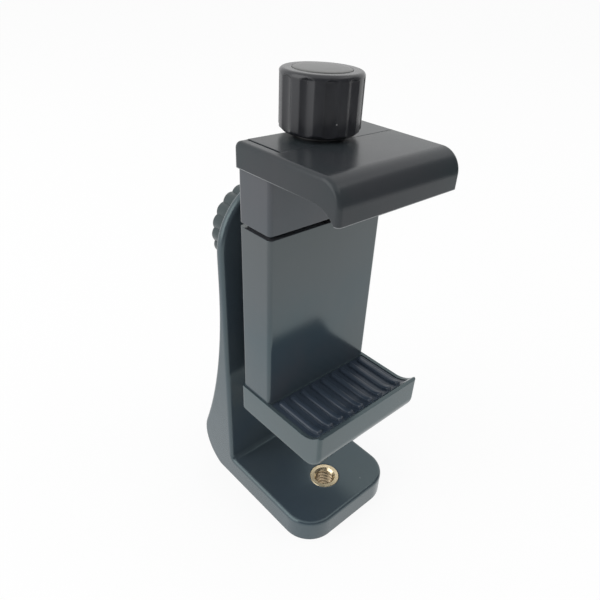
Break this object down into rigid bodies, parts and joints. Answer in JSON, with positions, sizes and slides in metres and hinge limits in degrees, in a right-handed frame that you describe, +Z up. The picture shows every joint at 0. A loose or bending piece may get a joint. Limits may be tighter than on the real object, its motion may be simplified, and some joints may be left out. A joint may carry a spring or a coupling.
{
  "type": "phone holder",
  "caption": "Phone holder for a tripod: an L-shaped bracket with a threaded foot carries a swivelling clamp whose upper jaw is raised by a knob and screw.",
  "frame": {"origin": "on the axis of the tripod thread, in the plane of the foot's underside", "axes": "+Z up along the arm and the clamp, -Y towards the phone's side, +X to the right seen from the phone's side"},
  "size_m": [0.036, 0.0518, 0.1187],
  "materials": {
    "bracket_plastic": "satin",
    "column_plastic": "satin",
    "jaw_plastic": "satin",
    "knob_plastic": "satin",
    "cap_plastic": "satin",
    "pad_rubber": "matte",
    "insert_brass": "turned",
    "nut_brass": "plain",
    "plated_steel": "zinc plated",
    "screw_steel": "blackened",
    "washer_nylon": "matte"
  },
  "bodies": {
    "bracket": {"l_bracket": "bracket_plastic", "tripod_insert": "insert_brass", "rear_washer": "plated_steel"},
    "clamp": {"column": "column_plastic", "column_back_cover": "column_plastic", "back_screw_lower_left": "screw_steel", "back_screw_lower_right": "screw_steel", "back_screw_upper_left": "screw_steel", "back_screw_upper_right": "screw_steel", "lower_jaw": "jaw_plastic", "lower_pad": "pad_rubber", "lower_jaw_screw_left": "screw_steel", "lower_jaw_screw_right": "screw_steel", "lead_nut": "nut_brass", "swivel_bolt": "plated_steel", "friction_washer": "washer_nylon"},
    "slider": {"upper_sleeve": "column_plastic", "upper_jaw": "jaw_plastic", "upper_pad": "pad_rubber", "top_cover": "jaw_plastic", "upper_jaw_screw_left": "screw_steel", "upper_jaw_screw_right": "screw_steel", "guide_rod_left": "plated_steel", "guide_rod_right": "plated_steel", "knob_washer": "washer_nylon"},
    "top_knob_set": {"top_knob": "knob_plastic", "top_knob_cap": "cap_plastic", "lead_screw": "plated_steel", "retaining_clip": "plated_steel"},
    "rear_knob_set": {"rear_knob": "knob_plastic", "rear_knob_cap": "cap_plastic", "rear_nut": "plated_steel"}
  },
  "joints": [
    {"name": "clamp_swivel", "type": "hinge", "parent": "bracket", "child": "clamp", "pos_m": [0, 0.02, 0.0768], "axis": [0, 1, 0], "continuous": true},
    {"name": "jaw_slide", "type": "slide", "parent": "clamp", "child": "slider", "axis": [0, 0, 1], "range_m": [0, 0.026]},
    {"name": "top_knob_turn", "type": "hinge", "parent": "slider", "child": "top_knob_set", "pos_m": [0, 0.0107, 0.107], "axis": [0, 0, 1], "range_deg": [0, 4680]},
    {"name": "rear_knob_turn", "type": "hinge", "parent": "clamp", "child": "rear_knob_set", "pos_m": [0, 0.03, 0.0768], "axis": [0, 1, 0], "range_deg": [0, 180]}
  ],
  "couplings": [
    {"joint": "top_knob_turn", "follows": "jaw_slide", "rad_per_m": 3141.5}
  ]
}
